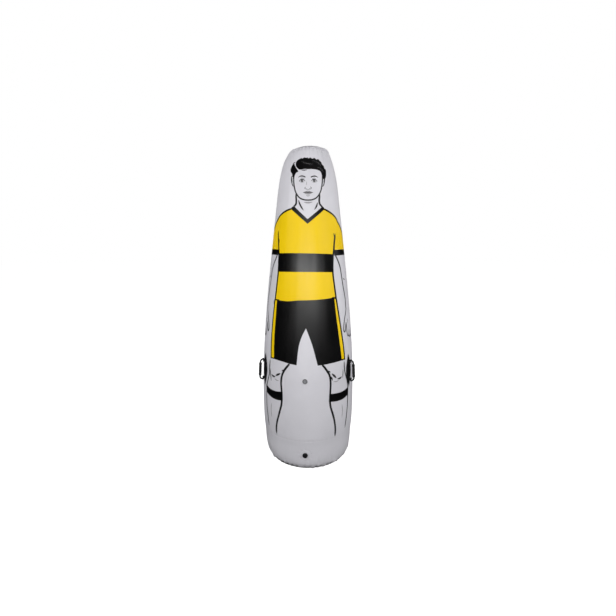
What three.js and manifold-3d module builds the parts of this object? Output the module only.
// Inflatable free kick dummy: a tapered welded PVC hull with a water chamber in
// its base, two grab handles, an air valve and a water filler cap.
// Millimetres, +Z up. The origin is the middle of the underside; the printed
// front faces -Y, and the dummy's own left handle is on the +X side.
import * as THREE from 'three';
import { mergeVertices } from 'three/addons/utils/BufferGeometryUtils.js';
import Module from 'manifold-3d';

const wasm = await Module();
wasm.setup();

// ---------------------------------------------------------------- dimensions
const HEIGHT = 1750;          // floor to crown of the top disc
const FILM = 1.0;             // wall of the hull film
const GAP = 0.3;              // air between touching pieces

// Hull profile: height above the floor and radius, seam to seam.
const PROFILE = [
  [2.2, 223.5], [6, 230.5], [12, 236.5], [22, 243.5], [36, 248.6], [60, 250.8],
  [94, 252.0], [142, 253.8], [190, 258.6], [260, 262.6], [335, 263.8],
  [420, 263.6], [520, 261.6], [640, 255.4], [780, 245.0], [964, 228.0],
  [1217, 199.4], [1420, 175.5], [1542, 160.3], [1600, 149.2], [1650, 136.0],
  [1690, 121.8], [1709.4, 113.4], [1724.7, 101.5],
];
const SIDE_LAP = 93;          // azimuth in degrees where the front panel ends
const LAP_START = 87;         // azimuth where the rear panel's tucked edge starts
const JOGGLE_END = 94.4;      // azimuth where the rear panel is flush again
const FRONT_STEPS = 24;
const REAR_STEPS = 24;

const BASE_FILM = 1.6;        // heavy base disc
const BASE_FLAT_R = 221.0;    // flat part of the underside
const BASE_RIM_TOP = 10.0;    // height of its turned-up rim
const TOP_RIM_LOW = 1713.0;   // lower edge of the top disc's turned-down rim

const DIAPHRAGM_Z = 176;      // weld height of the water chamber's roof
const DIAPHRAGM_TAB = 14;     // its welded tab
const DIAPHRAGM_FILM = 0.8;
const DIAPHRAGM_CROWN = 9;

const HANDLE_AZ = 64;         // azimuth of each handle, from the front
const HANDLE_Z = 535;
const PATCH_LENGTH = 188;
const PATCH_WIDTH = 66;
const PATCH_THICK = 2.0;
const SWING_N = 8.5;          // stand-off of the handle's swing axis
const GRIP_N = 29.5;          // stand-off of the grip's centre line
const ROD_R = 4.0;
const LUG_INNER = 43;         // lug spans, along the handle
const LUG_OUTER = 52;
const LUG_R = 7.2;
const GRIP_HALF = 38;

const AIR_Z = 517;            // air valve height
const AIR_FLANGE_R = 13.5;
const AIR_BORE_R = 5.5;
const AIR_STEM_R = 7.0;
const AIR_STEM_IN = 20;       // how far the stem reaches into the hull
const AIR_HINGE_Y = -12.5;    // plug hinge below the valve centre
const AIR_HINGE_N = 4.4;

const WATER_Z = 94;           // water filler height
const WATER_FLANGE_R = 28;
const WATER_NECK_R = 9.5;
const WATER_BORE_R = 7.4;
const WATER_CAP_R = 13.5;

// ---------------------------------------------------------------- materials
const paint = (color, roughness, metalness = 0) =>
  new THREE.MeshStandardMaterial({ color, roughness, metalness });
const PRINTED = paint(0xcdccd2, 0.32);
const WHITE_FILM = paint(0xd2d2d4, 0.34);
const BASE_BLACK = paint(0x24252a, 0.5);
const INNER_FILM = paint(0xc4c5c8, 0.45);
const HANDLE_BLACK = paint(0x17171a, 0.42);
const GRIP_BLACK = paint(0x1c1c1f, 0.6);
const VALVE_GREY = paint(0xb9bdc2, 0.3);
const VALVE_BLACK = paint(0x141417, 0.4);
const SEAL_BLACK = paint(0x101012, 0.75);

// ---------------------------------------------------------------- helpers
const rad = (d) => (d * Math.PI) / 180;
const part = new THREE.Group();

// Radius of the hull at height z, straight between the profile's stations.
function radius(z) {
  for (let i = 1; i < PROFILE.length; i++) {
    if (z <= PROFILE[i][0] || i === PROFILE.length - 1) {
      const [z0, r0] = PROFILE[i - 1];
      const [z1, r1] = PROFILE[i];
      return r0 + ((r1 - r0) * (z - z0)) / (z1 - z0);
    }
  }
}
// Lean of the surface: how far the normal tilts up, smoothed over 20 mm.
function lean(z) {
  const a = Math.max(z - 10, PROFILE[0][0]);
  const b = Math.min(z + 10, PROFILE[PROFILE.length - 1][0]);
  return Math.atan2(-(radius(b) - radius(a)), b - a);
}
// A point on the hull at azimuth az in degrees (0 is the front, + towards +X),
// height z and offset along the outward normal.
function onHull(az, z, off) {
  const tau = lean(z);
  const r = radius(z) + off * Math.cos(tau);
  return [r * Math.sin(rad(az)), -r * Math.cos(rad(az)), z + off * Math.sin(tau)];
}
function buffer(points, faces) {
  const g = new THREE.BufferGeometry();
  g.setAttribute('position', new THREE.Float32BufferAttribute(points.flat(), 3));
  g.setIndex(faces.flat());
  return g;
}
// Closed body from equal closed loops: loops[i][j], capped at both ends.
// The loops run counter-clockwise seen from the end that they advance to.
function loft(loops) {
  const n = loops[0].length;
  const points = loops.flat();
  const faces = [];
  for (let i = 0; i + 1 < loops.length; i++)
    for (let j = 0; j < n; j++) {
      const a = i * n + j;
      const b = i * n + ((j + 1) % n);
      faces.push([a, b, b + n], [a, b + n, a + n]);
    }
  return { points, faces, n };
}
// A bent sheet between an outer and an inner surface, over a grid of
// rows and columns; outer(i, j) and inner(i, j) give the points.
function sheet(rows, cols, outer, inner) {
  const points = [];
  const faces = [];
  const id = (i, j, s) => (s * rows + i) * cols + j;
  for (const f of [outer, inner])
    for (let i = 0; i < rows; i++) for (let j = 0; j < cols; j++) points.push(f(i, j));
  for (let i = 0; i + 1 < rows; i++)
    for (let j = 0; j + 1 < cols; j++) {
      const a = id(i, j, 0), b = id(i, j + 1, 0), c = id(i + 1, j + 1, 0), d = id(i + 1, j, 0);
      faces.push([a, b, c], [a, c, d]);
      const e = id(i, j, 1), f = id(i, j + 1, 1), g = id(i + 1, j + 1, 1), h = id(i + 1, j, 1);
      faces.push([e, g, f], [e, h, g]);
    }
  for (let i = 0; i + 1 < rows; i++) {
    for (const [j, flip] of [[0, true], [cols - 1, false]]) {
      const a = id(i, j, 0), b = id(i + 1, j, 0), c = id(i + 1, j, 1), d = id(i, j, 1);
      faces.push(...(flip ? [[a, b, c], [a, c, d]] : [[a, c, b], [a, d, c]]));
    }
  }
  for (let j = 0; j + 1 < cols; j++) {
    for (const [i, flip] of [[0, false], [rows - 1, true]]) {
      const a = id(i, j, 0), b = id(i, j + 1, 0), c = id(i, j + 1, 1), d = id(i, j, 1);
      faces.push(...(flip ? [[a, b, c], [a, c, d]] : [[a, c, b], [a, d, c]]));
    }
  }
  return buffer(points, faces);
}
// A ring or disc turned about Z from a closed profile of [radius, z] points,
// with its corners at the given azimuths. Points on the axis are shared.
function turned(profile, azimuths) {
  const points = [];
  const faces = [];
  const m = azimuths.length;
  const index = profile.map(([r, z]) => {
    if (r === 0) { points.push([0, 0, z]); const k = points.length - 1; return () => k; }
    const k = points.length;
    for (const az of azimuths) points.push([r * Math.sin(rad(az)), -r * Math.cos(rad(az)), z]);
    return (j) => k + (j % m);
  });
  const n = profile.length;
  for (let i = 0; i < n; i++) {
    const p = index[i], q = index[(i + 1) % n];
    const rp = profile[i][0], rq = profile[(i + 1) % n][0];
    if (rp === 0 && rq === 0) continue;
    for (let j = 0; j < m; j++) {
      if (rp !== 0) faces.push([p(j), p(j + 1), q(j)]);
      if (rq !== 0) faces.push([p(j + 1), q(j + 1), q(j)]);
    }
  }
  return buffer(points, faces);
}
// Turned about its own +Z axis with evenly spaced corners.
function lathe(profile, segments) {
  const g = turned(profile, Array.from({ length: segments }, (_, i) => (360 * i) / segments));
  return g;
}
function volume(g) {
  const p = g.attributes.position, ix = g.index.array;
  let v = 0;
  const a = new THREE.Vector3(), b = new THREE.Vector3(), c = new THREE.Vector3();
  for (let i = 0; i < ix.length; i += 3) {
    a.fromBufferAttribute(p, ix[i]); b.fromBufferAttribute(p, ix[i + 1]); c.fromBufferAttribute(p, ix[i + 2]);
    v += a.dot(b.cross(c));
  }
  return v / 6;
}
// Welded corners, faces out.
function clean(g) {
  const bare = g.clone();
  bare.deleteAttribute('normal');
  bare.deleteAttribute('uv');
  const m = mergeVertices(bare, 1e-4);
  const ix = Array.from(m.index.array), keep = [];
  for (let i = 0; i < ix.length; i += 3)
    if (ix[i] !== ix[i + 1] && ix[i + 1] !== ix[i + 2] && ix[i] !== ix[i + 2])
      keep.push(ix[i], ix[i + 1], ix[i + 2]);
  m.setIndex(keep);
  if (volume(m) < 0) {
    for (let i = 0; i < keep.length; i += 3) [keep[i], keep[i + 1]] = [keep[i + 1], keep[i]];
    m.setIndex(keep);
  }
  return m;
}
const solid = (g) => {
  const c = clean(g);
  return new wasm.Manifold(new wasm.Mesh({
    numProp: 3,
    vertProperties: new Float32Array(c.attributes.position.array),
    triVerts: new Uint32Array(c.index.array),
  }));
};
function back(m) {
  const mesh = m.getMesh();
  const g = new THREE.BufferGeometry();
  g.setAttribute('position', new THREE.BufferAttribute(new Float32Array(mesh.vertProperties), 3));
  g.setIndex(Array.from(mesh.triVerts));
  return g;
}
function add(name, geometry, material, parent = part) {
  const g = clean(geometry);
  g.computeVertexNormals();
  const mesh = new THREE.Mesh(g, material);
  mesh.name = name;
  parent.add(mesh);
  return mesh;
}
// A frame on the hull: local X across, Y up along the surface, Z outward.
function frame(az, z) {
  const tau = lean(z);
  const n = new THREE.Vector3(Math.sin(rad(az)) * Math.cos(tau), -Math.cos(rad(az)) * Math.cos(tau), Math.sin(tau));
  const u = new THREE.Vector3(-Math.sin(rad(az)) * Math.sin(tau), Math.cos(rad(az)) * Math.sin(tau), Math.cos(tau));
  const w = new THREE.Vector3().crossVectors(u, n);
  const group = new THREE.Group();
  group.quaternion.setFromRotationMatrix(new THREE.Matrix4().makeBasis(w, u, n));
  group.position.set(...onHull(az, z, 0));
  group.updateMatrixWorld(true);
  part.add(group);
  return group;
}
const rod = (curve, r, sides, steps) => {
  const s = new THREE.Shape();
  for (let i = 0; i < sides; i++) {
    const a = (2 * Math.PI * i) / sides;
    if (i) s.lineTo(r * Math.cos(a), r * Math.sin(a)); else s.moveTo(r, 0);
  }
  s.closePath();
  return new THREE.ExtrudeGeometry(s, { steps, bevelEnabled: false, extrudePath: curve });
};

// ---------------------------------------------------------------- hull panels
const frontAz = [-SIDE_LAP];
for (let i = 0; i <= FRONT_STEPS; i++) frontAz.push(-LAP_START + (2 * LAP_START * i) / FRONT_STEPS);
frontAz.push(SIDE_LAP);
const rearFlush = [];
for (let i = 0; i <= REAR_STEPS; i++) rearFlush.push(JOGGLE_END + ((360 - 2 * JOGGLE_END) * i) / REAR_STEPS);
const rearAz = [LAP_START, SIDE_LAP + 0.25, ...rearFlush, 360 - SIDE_LAP - 0.25, 360 - LAP_START];
const rearTuck = rearAz.map((a) => (a < JOGGLE_END - 0.01 || a > 360 - JOGGLE_END + 0.01 ? FILM + GAP : 0));
const ringAz = [...frontAz, ...rearFlush];
const Z = PROFILE.map((p) => p[0]);

const frontWall = sheet(Z.length, frontAz.length,
  (i, j) => onHull(frontAz[j], Z[i], 0),
  (i, j) => onHull(frontAz[j], Z[i], -FILM));
const rearWall = sheet(Z.length, rearAz.length,
  (i, j) => onHull(rearAz[j], Z[i], -rearTuck[j]),
  (i, j) => onHull(rearAz[j], Z[i], -rearTuck[j] - FILM));

const airFrame = frame(0, AIR_Z);
const waterFrame = frame(0, WATER_Z);
const hole = (r, group) => {
  const g = lathe([[0, -12], [r, -12], [r, 12], [0, 12]], 32);
  g.applyMatrix4(group.matrixWorld);
  return solid(g);
};
add('front_panel', back(solid(frontWall)
  .subtract(hole(AIR_STEM_R + 0.5, airFrame))
  .subtract(hole(WATER_NECK_R + 0.5, waterFrame))), PRINTED);
add('rear_panel', rearWall, WHITE_FILM);

// ---------------------------------------------------------------- end discs
// A [radius, z] point off the hull's profile.
const offProfile = (z, off) => {
  const tau = lean(z);
  return [radius(z) + off * Math.cos(tau), z + off * Math.sin(tau)];
};
{
  const outer = [[0, 0], [BASE_FLAT_R, 0]];
  const rim = [6, BASE_RIM_TOP];
  const low = offProfile(PROFILE[0][0], GAP + BASE_FILM);
  outer.push([low[0], Math.max(low[1], 0.6)]);
  for (const z of rim) outer.push(offProfile(z, GAP + BASE_FILM));
  const inner = [];
  for (const z of [...rim].reverse()) inner.push(offProfile(z, GAP));
  const il = offProfile(PROFILE[0][0], GAP);
  inner.push([il[0], il[1]], [BASE_FLAT_R - 0.5, BASE_FILM], [0, BASE_FILM]);
  add('base_disc', turned([...outer, ...inner], ringAz), BASE_BLACK);
}
{
  const zt = PROFILE[PROFILE.length - 1][0];
  const tip = offProfile(zt, GAP);
  const tipOut = offProfile(zt, GAP + FILM);
  const dome = (k, down) => {
    const r = tip[0] * k - 1.2;
    return [Math.max(r, 0), tip[1] + 1.6 + (HEIGHT - tip[1] - 1.6 - down) * (1 - k ** 2.2) - (k > 0.99 ? down : 0)];
  };
  const ks = [0.96, 0.82, 0.62, 0.36];
  const inner = [offProfile(TOP_RIM_LOW, GAP), tip, ...ks.map((k) => dome(k, FILM)), [0, HEIGHT - FILM]];
  const outer = [[0, HEIGHT], ...[...ks].reverse().map((k) => {
    const p = dome(k, FILM);
    return [p[0] + 0.25 * k, p[1] + FILM];
  }), tipOut, offProfile(TOP_RIM_LOW, GAP + FILM)];
  add('top_disc', turned([...inner, ...outer], ringAz), WHITE_FILM);
}
{
  const off = -(2 * FILM + 2 * GAP);
  const at = (z, o) => offProfile(z, o);
  const zt = DIAPHRAGM_Z + DIAPHRAGM_TAB;
  const edge = at(DIAPHRAGM_Z, off - DIAPHRAGM_FILM);
  const crown = (k, d) => [edge[0] * k, DIAPHRAGM_Z + DIAPHRAGM_CROWN * (1 - k * k) + d];
  const profile = [
    [0, DIAPHRAGM_Z + DIAPHRAGM_CROWN], crown(0.4, 0), crown(0.75, 0), at(DIAPHRAGM_Z, off), at(zt, off),
    at(zt, off - DIAPHRAGM_FILM), [edge[0], edge[1] + DIAPHRAGM_FILM + 0.4], crown(0.75, DIAPHRAGM_FILM),
    crown(0.4, DIAPHRAGM_FILM), [0, DIAPHRAGM_Z + DIAPHRAGM_CROWN + DIAPHRAGM_FILM],
  ];
  add('ballast_diaphragm', turned(profile, ringAz), INNER_FILM);
}

// ---------------------------------------------------------------- handles
// A patch with pointed ends that lies on the hull.
function patch(az0) {
  const rows = 17, cols = 7;
  const half = PATCH_LENGTH / 2;
  const point = (i, j, off) => {
    const k = -1 + (2 * i) / (rows - 1);
    const u = half * Math.sin((k * Math.PI) / 2);
    const w = Math.max((PATCH_WIDTH / 2) * (1 - Math.abs(u / half) ** 1.7), 1.2) * (-1 + (2 * j) / (cols - 1));
    const z = HANDLE_Z + u;
    return onHull(az0 + (w / radius(z)) * (180 / Math.PI), z, off);
  };
  return sheet(rows, cols, (i, j) => point(i, j, GAP + PATCH_THICK), (i, j) => point(i, j, GAP));
}
// A lug on the patch with a bore along Y for the handle's pivot end.
function lug(y0, y1) {
  const s = new THREE.Shape();
  const base = GAP * 2 + PATCH_THICK;
  s.moveTo(-10, base);
  s.lineTo(10, base);
  s.lineTo(9.2, base + 1.6);
  s.lineTo(LUG_R, SWING_N - 1.5);
  for (let i = 0; i <= 8; i++) {
    const a = (Math.PI * i) / 8;
    s.lineTo(LUG_R * Math.cos(a), SWING_N + LUG_R * Math.sin(a));
  }
  s.lineTo(-LUG_R, SWING_N - 1.5);
  s.lineTo(-9.2, base + 1.6);
  s.closePath();
  const h = new THREE.Path();
  for (let i = 0; i < 16; i++) {
    const a = (2 * Math.PI * i) / 16;
    const p = [(ROD_R + 0.45) * Math.cos(a), SWING_N + (ROD_R + 0.45) * Math.sin(a)];
    if (i) h.lineTo(...p); else h.moveTo(...p);
  }
  h.closePath();
  s.holes.push(h);
  const g = new THREE.ExtrudeGeometry(s, { depth: y1 - y0, bevelEnabled: false });
  // shape X stays, shape Y becomes local Z, depth becomes local -Y
  g.applyMatrix4(new THREE.Matrix4().makeBasis(
    new THREE.Vector3(1, 0, 0), new THREE.Vector3(0, 0, 1), new THREE.Vector3(0, -1, 0)));
  g.translate(0, y1, 0);
  return g;
}
// The loop: pivot end, bend, leg, grip run, and the same back.
function loopCurve() {
  const half = [
    [41, SWING_N], [45, SWING_N], [49.5, SWING_N], [53.6, SWING_N], [57.4, SWING_N + 1.8], [58.6, SWING_N + 5.5],
    [56.6, SWING_N + 10.5], [53.4, SWING_N + 15.6], [49.6, GRIP_N - 1.8], [44, GRIP_N], [38, GRIP_N],
  ];
  const pts = [...half, [20, GRIP_N], [0, GRIP_N], [-20, GRIP_N],
    ...[...half].reverse().map(([y, n]) => [-y, n])];
  return new THREE.CatmullRomCurve3(pts.map(([y, n]) => new THREE.Vector3(0, y, n)), false, 'centripetal');
}
// Finger-waved sleeve on the loop's straight run.
function grip() {
  const steps = 14;
  const profile = [];
  for (let i = 0; i <= steps; i++) {
    const y = -GRIP_HALF + (2 * GRIP_HALF * i) / steps;
    const end = Math.min(1, (GRIP_HALF - Math.abs(y)) / 5);
    const wave = 0.75 * (1 - Math.cos((2 * Math.PI * (y + GRIP_HALF) * 4) / (2 * GRIP_HALF))) / 2;
    profile.push([5.3 + 0.9 * end + wave, y]);
  }
  profile.push([ROD_R + 0.4, GRIP_HALF], [ROD_R + 0.4, -GRIP_HALF]);
  const g = lathe(profile, 12);
  g.rotateX(-Math.PI / 2);      // turned axis Z becomes local Y
  g.translate(0, 0, GRIP_N);
  return g;
}
for (const [side, az] of [['left', HANDLE_AZ], ['right', -HANDLE_AZ]]) {
  const f = frame(az, HANDLE_Z);
  add(`${side}_handle_patch`, patch(az), HANDLE_BLACK);
  add(`${side}_handle_upper_lug`, lug(LUG_INNER, LUG_OUTER), HANDLE_BLACK, f);
  add(`${side}_handle_lower_lug`, lug(-LUG_OUTER, -LUG_INNER), HANDLE_BLACK, f);
  add(`${side}_handle_loop`, rod(loopCurve(), ROD_R, 8, 34), HANDLE_BLACK, f);
  add(`${side}_handle_grip`, grip(), GRIP_BLACK, f);
}

// ---------------------------------------------------------------- valves
// A ring that lies on the hull around a point of its front.
function ringOnHull(z0, r0, r1, off0, off1, segments) {
  const point = (r, k, off) => {
    const a = (2 * Math.PI * k) / segments;
    const z = z0 + r * Math.sin(a);
    return onHull(((r * Math.cos(a)) / radius(z)) * (180 / Math.PI), z, off);
  };
  const points = [], faces = [];
  const loop = [[r0, off0], [r1, off0], [r1, off1], [r0, off1]];
  for (const [r, off] of loop) for (let k = 0; k < segments; k++) points.push(point(r, k, off));
  for (let i = 0; i < 4; i++)
    for (let k = 0; k < segments; k++) {
      const a = i * segments + k, b = i * segments + ((k + 1) % segments);
      const c = ((i + 1) % 4) * segments + ((k + 1) % segments), d = ((i + 1) % 4) * segments + k;
      faces.push([a, b, c], [a, c, d]);
    }
  return buffer(points, faces);
}
const airFlangeTop = GAP + 1.6;
add('air_valve_flange', ringOnHull(AIR_Z, AIR_STEM_R + GAP, AIR_FLANGE_R, GAP, airFlangeTop, 32), VALVE_GREY);
add('air_valve_doubler', ringOnHull(AIR_Z, AIR_STEM_R + 1, 27, -(FILM + 1.7), -(FILM + 0.9), 32), INNER_FILM);
add('air_valve_stem', lathe([
  [AIR_BORE_R, -AIR_STEM_IN], [AIR_STEM_R, -AIR_STEM_IN], [AIR_STEM_R, airFlangeTop + 0.35],
  [9.2, airFlangeTop + 0.35], [9.2, airFlangeTop + 1.45], [AIR_BORE_R, airFlangeTop + 1.45],
], 24), VALVE_GREY, airFrame);
{
  const flap = lathe([[0, -AIR_STEM_IN - 1.1], [6.7, -AIR_STEM_IN - 1.1], [6.7, -AIR_STEM_IN - 0.3], [0, -AIR_STEM_IN - 0.3]], 24);
  add('air_valve_flap', flap, VALVE_GREY, airFrame);
}
{
  const n0 = airFlangeTop + 1.75;   // underside of the plug's head
  const plug = lathe([
    [0, n0 - 4.3], [3.9, n0 - 4.3], [4.9, n0 - 0.6], [4.9, n0], [8.5, n0], [8.5, n0 + 1.2],
    [7.9, n0 + 1.8], [4.6, n0 + 1.8], [4.2, n0 + 1.3], [0, n0 + 1.3],
  ], 24);
  add('air_valve_plug', plug, VALVE_GREY, airFrame);
  const strap = new THREE.Shape();
  // side view: X is the distance below the valve centre, Y is the stand-off
  strap.moveTo(8.85, n0 + 0.1);
  strap.lineTo(12.0, n0 + 0.1);
  for (let i = 0; i <= 6; i++) {
    const a = -Math.PI / 2 + (Math.PI * i) / 6;
    strap.lineTo(-AIR_HINGE_Y + 0.6 * Math.cos(a), AIR_HINGE_N + 0.6 * Math.sin(a));
  }
  strap.lineTo(12.0, n0 + 1.3);
  strap.lineTo(8.85, n0 + 1.3);
  strap.closePath();
  const g = new THREE.ExtrudeGeometry(strap, { depth: 5, bevelEnabled: false });
  g.applyMatrix4(new THREE.Matrix4().makeBasis(
    new THREE.Vector3(0, -1, 0), new THREE.Vector3(0, 0, 1), new THREE.Vector3(-1, 0, 0)));
  g.translate(2.5, 0, 0);
  add('air_valve_tether', g, VALVE_GREY, airFrame);
  const post = new THREE.BoxGeometry(5, 2.6, AIR_HINGE_N - 0.9 - (airFlangeTop + 0.35));
  post.translate(0, AIR_HINGE_Y + 0.4, (AIR_HINGE_N - 0.9 + airFlangeTop + 0.35) / 2);
  add('air_valve_tether_post', post, VALVE_GREY, airFrame);
}

const waterFlangeTop = GAP + 1.0;
add('water_valve_flange', ringOnHull(WATER_Z, WATER_NECK_R + 0.4, WATER_FLANGE_R, GAP, waterFlangeTop, 32), WHITE_FILM);
add('water_valve_doubler', ringOnHull(WATER_Z, WATER_NECK_R + 1, 34, -(FILM + 1.8), -(FILM + 1.0), 32), INNER_FILM);
add('water_valve_neck', lathe([
  [WATER_BORE_R, -14], [WATER_NECK_R, -14], [WATER_NECK_R, 6], [WATER_BORE_R, 6],
], 32), VALVE_BLACK, waterFrame);
add('water_valve_gasket', lathe([[7.7, 6.3], [9.4, 6.3], [9.4, 7.4], [7.7, 7.4]], 32), SEAL_BLACK, waterFrame);
{
  // the cap: a cup over the neck with a ribbed rim and a coin slot in its face
  const body = lathe([
    [0, 7.7], [10.2, 7.7], [10.2, 2.6], [11.6, 2.6], [11.6, 4.3], [WATER_CAP_R - 0.9, 4.3],
    [WATER_CAP_R - 0.9, 9.4], [WATER_CAP_R - 1.7, 10.2], [0, 10.2],
  ], 48);
  let cap = solid(body);
  const ribs = new THREE.Shape();
  const teeth = 20;
  for (let i = 0; i < teeth * 4; i++) {
    const a = (2 * Math.PI * (i - 0.5)) / (teeth * 4);
    const r = i % 4 < 2 ? WATER_CAP_R : WATER_CAP_R - 0.8;
    const p = [r * Math.cos(a), r * Math.sin(a)];
    if (i) ribs.lineTo(...p); else ribs.moveTo(...p);
  }
  ribs.closePath();
  const band = new THREE.ExtrudeGeometry(ribs, { depth: 4.6, bevelEnabled: false });
  band.translate(0, 0, 4.5);
  const core = lathe([[0, 3], [10.9, 3], [10.9, 12], [0, 12]], 48);
  cap = cap.add(solid(band).subtract(solid(core)));
  const slot = new THREE.BoxGeometry(2.2, 15, 3);
  slot.translate(0, 0, 10.6);
  cap = cap.subtract(solid(slot));
  add('water_valve_cap', back(cap), VALVE_BLACK, waterFrame);
}
add('water_valve_swivel_ring', lathe([[11.95, 2.7], [14.4, 2.7], [14.4, 3.95], [11.95, 3.95]], 32), VALVE_BLACK, waterFrame);
{
  const strap = new THREE.Shape();
  strap.moveTo(14.75, 2.75);
  strap.lineTo(17.5, 2.75);
  strap.lineTo(20, waterFlangeTop + 0.5);
  strap.lineTo(25.5, waterFlangeTop + 0.5);
  strap.lineTo(25.5, waterFlangeTop + 1.6);
  strap.lineTo(20.3, waterFlangeTop + 1.6);
  strap.lineTo(17.7, 3.9);
  strap.lineTo(14.75, 3.9);
  strap.closePath();
  const g = new THREE.ExtrudeGeometry(strap, { depth: 6, bevelEnabled: false });
  g.applyMatrix4(new THREE.Matrix4().makeBasis(
    new THREE.Vector3(0, 1, 0), new THREE.Vector3(0, 0, 1), new THREE.Vector3(1, 0, 0)));
  g.translate(-3, 0, 0);
  add('water_valve_tether', g, VALVE_BLACK, waterFrame);
}

export default part;
